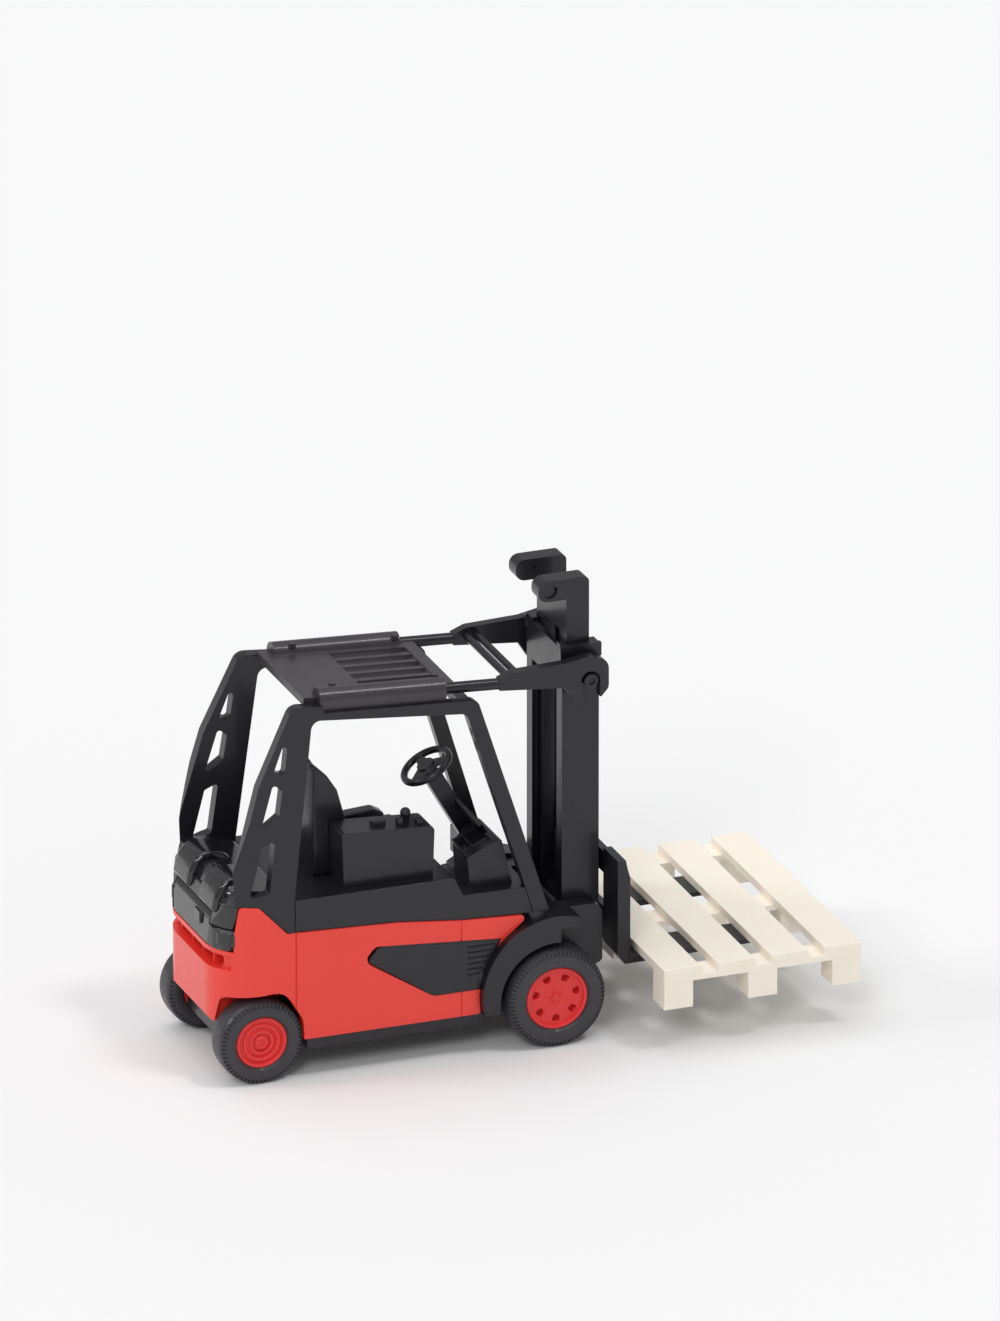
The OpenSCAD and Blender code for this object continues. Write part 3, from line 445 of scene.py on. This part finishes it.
# The front rim is a shallow dish with small pockets round a star. The rear rim has raised rings.
pocket_count = 7
pocket_r = 2.25
star_points = 5
star_tip_r = 0.75
star_inner_r = 0.3
for side, outwards in (("left", 1), ("right", -1)):
    low, high = box_mm(f"front_rim_{side}")
    centre = (low + high) / 2
    face = (high.y - low.y) / 2
    dish = [
        (0, face - 0.5), (0.9, face - 0.46), (2.7, face - 0.3), (2.95, face - 0.36), (3.0, face - 0.04),
        (3.1, face), (3.28, face), (3.4, face - 0.1), (3.4, -face), (2.95, -face), (2.9, -face + 1.3),
        (0.8, -face + 1.3), (0.8, face - 1), (0, face - 1),
    ]
    rim = spun_ring([(radius, outwards * y) for radius, y in dish], centre, 84)
    pocket_outline = [
        (centre.x + pocket_r - 0.35, centre.z - 0.3),
        (centre.x + pocket_r + 0.32, centre.z - 0.5),
        (centre.x + pocket_r + 0.42, centre.z),
        (centre.x + pocket_r + 0.32, centre.z + 0.5),
        (centre.x + pocket_r - 0.35, centre.z + 0.3),
    ]
    pocket_floor = centre.y + outwards * (face - 1.15)
    pocket_mouth = centre.y + outwards * (face + 0.4)
    pocket = slab(pocket_outline, pocket_floor, pocket_mouth, corner=0.14)
    for count in range(pocket_count):
        turn = 2 * math.pi * (count + 0.25) / pocket_count
        combine(rim, turned_copy(pocket, centre, turn), "DIFFERENCE")
    bpy.data.objects.remove(pocket)
    star_outline = []
    for count in range(2 * star_points):
        reach = star_tip_r if count % 2 else star_inner_r
        turn = math.pi * count / star_points
        star_outline.append((centre.x + reach * math.cos(turn), centre.z + reach * math.sin(turn)))
    star = slab(star_outline, centre.y + outwards * (face - 0.7), centre.y + outwards * (face - 0.3))
    combine(rim, star)
    soften_edges(rim, 0.05)
    rim.name = f"front_{side}_rim"
    fit_piece(rim, "front_wheels", rim_moulding, f"front_rim_{side}")

    low, high = box_mm(f"rear_rim_{side}")
    centre = (low + high) / 2
    face = (high.y - low.y) / 2
    rings = [
        (0, face - 0.16), (0.3, face - 0.16), (0.36, face - 0.02), (0.62, face), (0.72, face - 0.1),
        (0.78, face - 0.36), (0.98, face - 0.4), (1.06, face - 0.14), (1.3, face - 0.1), (1.38, face - 0.3),
        (1.6, face - 0.38), (1.72, face - 0.16), (2.0, face - 0.12), (2.1, face - 0.3), (2.3, face - 0.34),
        (2.4, face - 0.06), (2.5, face), (2.68, face), (2.8, face - 0.12), (2.8, -face), (0.8, -face),
        (0.8, face - 1), (0, face - 1),
    ]
    rim = spun_ring([(radius, outwards * y) for radius, y in rings], centre, 72)
    only_select(rim)
    bpy.ops.object.shade_smooth_by_angle(angle=math.radians(30))
    rim.name = f"rear_{side}_rim"
    fit_piece(rim, "rear_wheels", rim_moulding, f"rear_rim_{side}")

for node, body in (("front_axle", "front_wheels"), ("rear_axle", "rear_wheels")):
    axle = welded_copy(node, node + "_steel")
    soften_edges(axle, 0.08)
    fit_piece(axle, body, bright_steel, node)


# ---- Side panels ----
# A black plastic insert is glued in a pocket in each side of the casting.
# Its edge is rounded, and six louvres are moulded in its front end, each longer than the one below.

louvre_count = 6
louvre_pitch = 0.62
louvre_tall = 0.24
louvre_depth = 0.15
for side, outwards in (("left", 1), ("right", -1)):
    low, high = box_mm(f"side_panel_{side}")
    rear, front, under, top = low.x, high.x, low.z, high.z
    outer = outwards * max(abs(low.y), abs(high.y))
    inner = outwards * min(abs(low.y), abs(high.y))
    panel = slab([
        (rear + 1.4, top),
        (front, top - 1.1),
        (front - 1.75, under + 2.35),
        (front - 2.35, under),
        (front - 7.6, under),
        (rear, under + 4.9),
    ], inner, outer - outwards * 0.02, corner=0.5)
    soften_edges(panel, 0.22, segments=3)
    for row in range(louvre_count):
        bottom = under + 1.75 + louvre_pitch * row
        start = front - 3.9
        end = start + 1.45 + 0.3 * row
        corners = [(start, bottom), (end, bottom), (end, bottom + louvre_tall), (start, bottom + louvre_tall)]
        louvre = slab(corners, outer - outwards * louvre_depth, outer + outwards * 0.5, corner=0.06)
        combine(panel, louvre, "DIFFERENCE")
    even_shading(panel)
    panel.name = f"side_insert_{side}"
    fit_piece(panel, "truck", black_moulding, f"side_panel_{side}")


# ---- Black mouldings of the cab, the mast and the forks ----
# Each is one injection moulding in the same black plastic, with softly rounded edges.
# The ends of the mast's hook pins and the heads of the inner mast have shallow round pockets, and a fine
# hole runs through the heads.

def round_bar(x, z, radius, y0, y1, sides):
    """A round bar along Y, between two places along it."""
    ring = [2 * math.pi * k / sides for k in range(sides)]
    return slab([(x + radius * math.cos(turn), z + radius * math.sin(turn)) for turn in ring], y0, y1)


def side_pockets(piece, node, x, z, radius, depth, sides):
    """Cuts a shallow round pocket in both sides of a piece, at a place in x and z."""
    low, high = box_mm(node)
    for y0, y1 in ((low.y - 0.5, low.y + depth), (high.y - depth, high.y + 0.5)):
        combine(piece, round_bar(x, z, radius, y0, y1, sides), "DIFFERENCE")


hook_pin_x = 7.45
hook_pin_z = 38.8
for node, body, width in (
    ("cab_floor", "truck", 0.28),
    ("steering_column", "truck", 0.12),
    ("cab_frame", "truck", 0.34),
    ("tilt_rods", "rods", 0.34),
    ("outer_mast", "mast", 0.17),
    ("inner_mast", "inner_stage", 0.28),
    ("fork_carriage", "carriage", 0.2),
):
    moulding = welded_copy(node, node + "_moulding")
    if node == "outer_mast":
        side_pockets(moulding, node, hook_pin_x, hook_pin_z, 0.42, 0.25, 24)
    if node == "inner_mast":
        low, high = box_mm(node)
        side_pockets(moulding, node, low.x + 1.3, high.z - 1.2, 0.75, 0.3, 36)
        fine_hole = round_bar(low.x + 2.0, high.z - 1.0, 0.14, low.y - 0.5, high.y + 0.5, 16)
        combine(moulding, fine_hole, "DIFFERENCE")
    soften_edges(moulding, width, segments=3)
    fit_piece(moulding, body, black_moulding, node)


# ---- Dashboard ----
# The instrument box is a black moulding on the step. Two shallow trays are sunk in its sloping top,
# and each has a thin raised rim.

dashboard = welded_copy("dashboard", "dashboard_moulding")
top_rear = Vector((-6.35, 0, 21.2))
top_angle = math.radians(24.4)
tray_right = -6.1
tray_left = -3.1


def on_dash(along, y, up):
    """A place on the sloping top of the instrument box, in millimetres."""
    return Vector((
        top_rear.x + along * math.cos(top_angle) - up * math.sin(top_angle),
        y,
        top_rear.z + along * math.sin(top_angle) + up * math.cos(top_angle),
    ))


def dash_block(start, end, margin, bottom, top):
    """An upright block on the top, round one tray, with a margin on all sides."""
    places = (
        (start - margin, tray_right - margin),
        (end + margin, tray_right - margin),
        (end + margin, tray_left + margin),
        (start - margin, tray_left + margin),
    )
    corners = [on_dash(along, y, bottom) for along, y in places]
    return prism(corners, on_dash(0, 0, top) - on_dash(0, 0, bottom))


for start, end in ((0.3, 1.2), (1.4, 3.4)):
    rim = dash_block(start, end, 0.2, -0.3, 0.16)
    combine(rim, dash_block(start, end, 0.02, -0.6, 0.4), "DIFFERENCE")
    combine(dashboard, rim)
soften_edges(dashboard, 0.07)
fit_piece(dashboard, "truck", black_moulding, "dashboard")


# ---- Steering wheel ----
# One black moulding: a round rim, a broad hub pad and three spokes that taper outwards.
# A peg under the hub turns in the column.

turn_joint = next(joint for joint in frame["joints"] if joint["name"] == "steering_turn")
hub = Vector(turn_joint["pos_m"]) / MM
column_axis = Vector(turn_joint["axis"])
facing = column_axis.to_track_quat("Z", "Y").to_euler()
wheel_r = 2.6
grip_r = 0.38
spoke_count = 3
bpy.ops.object.select_all(action="DESELECT")
bpy.ops.mesh.primitive_torus_add(
    location=(hub + 0.3 * column_axis) * MM, rotation=facing, major_segments=72, minor_segments=16,
    major_radius=wheel_r * MM, minor_radius=grip_r * MM,
)
wheel = bpy.context.object
bpy.ops.object.transform_apply(location=True, rotation=True, scale=True)
for count in range(spoke_count):
    angle = math.radians(360 / spoke_count * count + 60)
    bpy.ops.object.select_all(action="DESELECT")
    bpy.ops.mesh.primitive_cube_add(size=1)
    spoke = bpy.context.object
    for vertex in spoke.data.vertices:
        far = vertex.co.x > 0
        long = wheel_r if far else 0
        wide = (0.34 if far else 0.75) * (1 if vertex.co.y > 0 else -1)
        up = (0.42 if far else 0.5) if vertex.co.z > 0 else 0.08
        vertex.co = Vector((
            long * math.cos(angle) - wide * math.sin(angle),
            long * math.sin(angle) + wide * math.cos(angle),
            up,
        )) * MM
    spoke.location = hub * MM
    spoke.rotation_euler = facing
    bpy.ops.object.transform_apply(location=True, rotation=True, scale=True)
    combine(wheel, spoke)
for radius, bottom, top in ((0.95, -0.1, 0.62), (0.44, -1.8, 0.1)):
    bpy.ops.object.select_all(action="DESELECT")
    bpy.ops.mesh.primitive_cylinder_add(
        vertices=36, radius=radius * MM, depth=(top - bottom) * MM, rotation=facing,
        location=(hub + (bottom + top) / 2 * column_axis) * MM,
    )
    part = bpy.context.object
    bpy.ops.object.transform_apply(location=True, rotation=True, scale=True)
    combine(wheel, part)
soften_edges(wheel, 0.06)
wheel.name = "steering_wheel_moulding"
fit_piece(wheel, "steering", black_moulding, "steering_wheel")


# ---- Seat ----
# The driver's seat is a hard black moulding that copies a padded one: a cushion and a tall curved back,
# each with a raised roll along both sides.

low, high = box_mm("seat")
deck = low.z
front = high.x
half = (high.y - low.y) / 2
roll_width = 1.6
cushion = [
    (front - 0.5, deck), (front - 0.4, deck + 3.0), (front - 1.4, deck + 3.4), (front - 6.7, deck + 3.1),
]
back_front = [(front - 7.2, deck + 6.2), (front - 8.0, deck + 9.0), (front - 9.0, deck + 10.6)]
back_rear = [(low.x + 0.3, deck + 11.9), (low.x + 0.2, deck + 6.0), (low.x + 0.3, deck)]
seat = slab(cushion + back_front + back_rear, -half + 0.2, half - 0.2)
roll_side = [
    (front, deck), (front, deck + 3.3), (front - 1.1, deck + 3.9), (front - 6.2, deck + 3.6),
    (front - 6.6, deck + 6.3), (front - 7.4, deck + 9.2), (front - 8.5, deck + 10.9),
    (low.x + 0.3, deck + 12.2), (low.x, deck + 11.8), (low.x, deck),
]
for outwards in (-1, 1):
    roll = slab(roll_side, outwards * (half - roll_width), outwards * half)
    soften_edges(roll, 0.5, segments=4, angle=20)
    combine(seat, roll)
even_shading(seat)
soften_edges(seat, 0.1)
seat.name = "seat_moulding"
fit_piece(seat, "truck", black_moulding, "seat")


# ---- Armrest ----
# A black box with rounded corners beside the seat, glued on the deck. Four small controls with rounded
# corners are moulded on its top.

low, high = box_mm("armrest")
armrest = welded_copy("armrest", "armrest_moulding")
lid_z = 25.6
lid_rise = 0.06
control_half = 0.35
for from_front, from_right, wide, tall in (
    (3.4, 1.3, 0.7, 0.55), (2.3, 2.2, 0.6, 0.4), (1.3, 1.2, 0.8, 0.35), (5.6, 1.8, 1.6, 0.3),
):
    x = high.x - from_front
    y = low.y + from_right
    lid = lid_z + lid_rise * from_front
    control_start = (x - wide / 2, y - control_half, lid - 0.6)
    control_end = (x + wide / 2, y + control_half, lid + tall)
    combine(armrest, brick(control_start, control_end, corner=0.2))
soften_edges(armrest, 0.3, segments=4)
fit_piece(armrest, "truck", black_moulding, "armrest")


# ---- Roof ----
# The roof is one thin moulding with five slots, glued on the cab's side rails.
# A half-round housing along each side guides one of the mast's tilt rods.

# The roof's black is painted lighter than the other black mouldings: a painted sheen for the light its top
# catches from above.
roof_black_painted_sheen = moulded_black("roof_black_painted_sheen", (0.031, 0.027, 0.035), 0.34, shine=0.45)
roof_slope = math.radians(3.2)
arm_foot = Vector((-2.6, 0, 39.7))


def on_slope(x, y, z):
    """A place in the roof's own sloping plane, as a place in the model, in millimetres."""
    along = x - arm_foot.x
    return Vector((
        arm_foot.x + along * math.cos(roof_slope) + z * math.sin(roof_slope),
        y,
        arm_foot.z - along * math.sin(roof_slope) + z * math.cos(roof_slope),
    ))


def roof_bar(outline, x0, x1):
    """A length of the roof, from an outline in y and z, between two places along its slope."""
    push = on_slope(x1, 0, 0) - on_slope(x0, 0, 0)
    return prism([on_slope(x0, y, z) for y, z in outline], push)


def roof_strip(x0, x1, y0, y1, top):
    """A flat strip of the roof plate."""
    under = -0.45
    return roof_bar([(y0, under), (y1, under), (y1, top), (y0, top)], x0, x1)


# The strips differ a little in height, so that none of their faces coincide where they meet.
plate_half = 7.0
slots_rear = -18
slots_front = -7.6
roof = roof_strip(-24.1, -17.05, -plate_half, plate_half, 0.35)
combine(roof, roof_strip(-8.6, -7.2, -plate_half, plate_half, 0.33))
for y0, y1 in ((-6.5, -4.65), (4.65, 6.5)):
    combine(roof, roof_strip(slots_rear, slots_front, y0, y1, 0.3))
for middle in (-3, -1, 1, 3):
    combine(roof, roof_strip(slots_rear, slots_front, middle - 0.35, middle + 0.35, 0.26))

housing_r = 1.25
bore_r = 0.72
half_turn = [math.pi * k / 24 for k in range(25)]
for outwards in (-1, 1):
    rod_y = outwards * 6.75
    outline = [(rod_y + housing_r * math.cos(turn), housing_r * math.sin(turn)) for turn in half_turn]
    outline += [(rod_y - housing_r, -0.85), (rod_y + housing_r, -0.85)]
    combine(roof, roof_bar(outline, -22.6, -8.7))
    bore = [(rod_y + bore_r * math.cos(2 * turn), bore_r * math.sin(2 * turn)) for turn in half_turn[:-1]]
    combine(roof, roof_bar(bore, -21.2, -5), "DIFFERENCE")
    nub_y = rod_y - outwards * 0.9
    nub = [(nub_y - 0.3, 0.8), (nub_y + 0.3, 0.8), (nub_y + 0.22, 1.32), (nub_y - 0.22, 1.32)]
    for nub_x in (-20.9, -9.6):
        combine(roof, roof_bar(nub, nub_x, nub_x + 0.6))
soften_edges(roof, 0.09)
roof.name = "roof_with_housings"
fit_piece(roof, "truck", roof_black_painted_sheen, "roof_panel")


# ---- Rear cover ----
# The cover over the counterweight is a glossy black moulding that clips on between the rear pillars.
# It has two humps, a parting seam, a latch, and raised corners with a lamp moulded in each.

polished_black = moulded_black("polished_black", (0.009, 0.0085, 0.01), 0.14, grain=0.05, shine=0.6)
cover = welded_copy("rear_cover", "rear_cover_moulding")
soften_edges(cover, 0.5, segments=5)
low, high = box_mm("rear_cover")
only_select(cover)
bpy.ops.object.duplicate()
cover_core = bpy.context.object


def grown_cover(growth):
    """A copy of the plain cover, grown sideways and backwards by a distance in millimetres."""
    only_select(cover_core)
    bpy.ops.object.duplicate()
    copy = bpy.context.object
    wide = (high.y - low.y) / 2
    for vertex in copy.data.vertices:
        vertex.co.y *= 1 + growth / wide
        vertex.co.x = high.x * MM + (vertex.co.x - high.x * MM) * (1 + growth / (high.x - low.x))
    return copy


# The two raised corners come first, and then the lamp in each.
for y0, y1, z0, z1, growth in (
    (-12, -5.7, low.z + 0.05, 16.85, 0.12), (5.7, 12, low.z + 0.05, 16.85, 0.12),
    (-9.1, -6.6, 15.25, 16.6, 0.2), (6.6, 9.1, 15.25, 16.6, 0.2),
):
    raised = grown_cover(growth)
    combine(raised, brick((low.x - 2, y0, z0), (low.x + 5.4, y1, z1)), "INTERSECT")
    combine(cover, raised)

# The seam runs above the raised corners and steps up between them.
seam_depth = 0.28
for y0, y1, z0, z1 in (
    (-5.3, 5.3, 18.1, 18.28), (-12, -5.1, 16.95, 17.13), (5.1, 12, 16.95, 17.13),
    (-5.3, -5.12, 16.95, 18.28), (5.12, 5.3, 16.95, 18.28),
):
    seam = brick((low.x - 3, y0, z0), (low.x + 4.5, y1, z1))
    combine(seam, grown_cover(-seam_depth), "DIFFERENCE")
    combine(cover, seam, "DIFFERENCE")

hump_half = 2.3
hump_side = [
    (low.x + 0.15, 18.4), (low.x + 0.5, 20.0), (low.x + 1.1, 21.2), (low.x + 1.9, 21.85), (low.x + 2.9, 22.0),
    (low.x + 4.6, 21.5), (low.x + 5.6, 20.2), (low.x + 3.0, 17.9),
]
for hump_y in (-3.8, 3.8):
    hump = slab(hump_side, hump_y - hump_half, hump_y + hump_half)
    soften_edges(hump, 1.0, segments=7, angle=10)
    combine(cover, hump)
latch = brick((low.x - 0.12, -3.1, 16.2), (low.x + 0.8, -1.5, 17.5), corner=0.12)
combine(cover, latch)
bpy.data.objects.remove(cover_core)
even_shading(cover)
fit_piece(cover, "truck", polished_black, "rear_cover")


# ---- Pallet ----
# The pallet is one cream plastic moulding that lies loose on the forks: four deck boards on three bearers.
# Its plastic lets in a little light, and all its edges are softly rounded.

cream_moulding, shader, tree = plain_material("cream_moulding", (0.94, 0.86, 0.76), 0.5, 0.3)
tint(tree, fine_noise(tree, 0.25), (0.92, 0.83, 0.715), (0.96, 0.89, 0.79), shader.inputs["Base Color"])
between(tree, fine_noise(tree, 1.2), 0.42, 0.6, shader.inputs["Roughness"])
relief(tree, fine_noise(tree, 3.0, detail=3), 0.015, 0.3, shader)
shader.inputs["Subsurface Weight"].default_value = 0.25
shader.inputs["Subsurface Radius"].default_value = (1.0, 0.55, 0.4)
shader.inputs["Subsurface Scale"].default_value = 0.6 * MM
pallet = welded_copy("pallet", "cream_pallet")
lift_off_forks = 0.01 * MM
for vertex in pallet.data.vertices:
    vertex.co.z += lift_off_forks
soften_edges(pallet, 0.22, segments=3)
fit_piece(pallet, "load", cream_moulding, "pallet")
